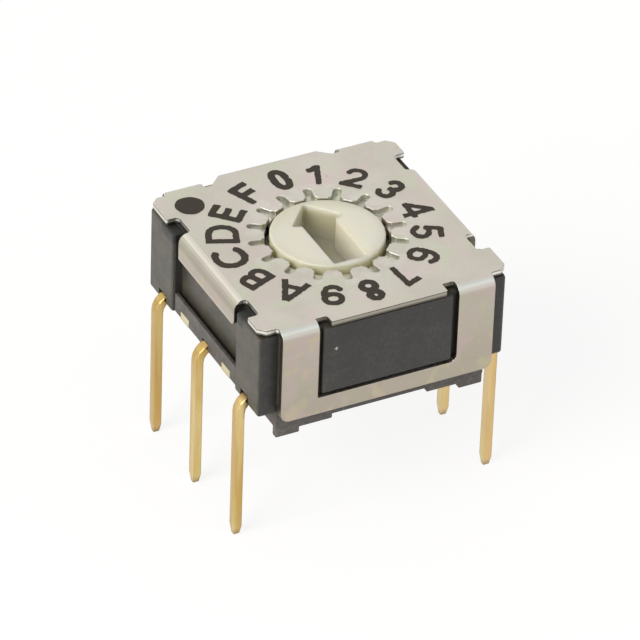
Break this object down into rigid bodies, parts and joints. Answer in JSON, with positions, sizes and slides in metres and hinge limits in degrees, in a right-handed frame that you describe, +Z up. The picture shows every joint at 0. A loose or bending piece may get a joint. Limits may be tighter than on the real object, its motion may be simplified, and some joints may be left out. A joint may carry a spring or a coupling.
{
  "type": "rotary dip switch",
  "caption": "Square board mounted rotary coded switch with a folded steel cover, a round driver slotted rotor and straight solder pins.",
  "frame": {"origin": "centre of the body in plan, on the plane of the pin tips", "axes": "+Z up along the rotor axis, +Y towards the zero mark, the pin rows stand at -X and +X"},
  "size_m": [0.0078, 0.0074, 0.0072],
  "materials": {
    "cover_steel": "satin stainless sheet",
    "housing_moulding": "fine matt",
    "base_moulding": "fine matt",
    "rotor_cream": "smooth, slightly worn",
    "gold_plate": "gold plated, satin",
    "spring_steel": "rolled strip",
    "seal_rubber": "moulded"
  },
  "bodies": {
    "body": {"cover": "cover_steel", "housing": "housing_moulding", "base": "base_moulding", "lead_left_rear": "gold_plate", "lead_left_front": "gold_plate", "lead_right_rear": "gold_plate", "lead_right_front": "gold_plate", "lead_common": "gold_plate"},
    "turning_rotor": {"rotor": "rotor_cream", "o_ring": "seal_rubber", "detent_spring": "spring_steel", "contact_spring": "gold_plate"}
  },
  "joints": [
    {"name": "rotor_turn", "type": "hinge", "parent": "body", "child": "turning_rotor", "pos_m": [0, 0, 0.00713], "axis": [0, 0, 1], "continuous": true, "deforming": ["detent_spring"]}
  ]
}
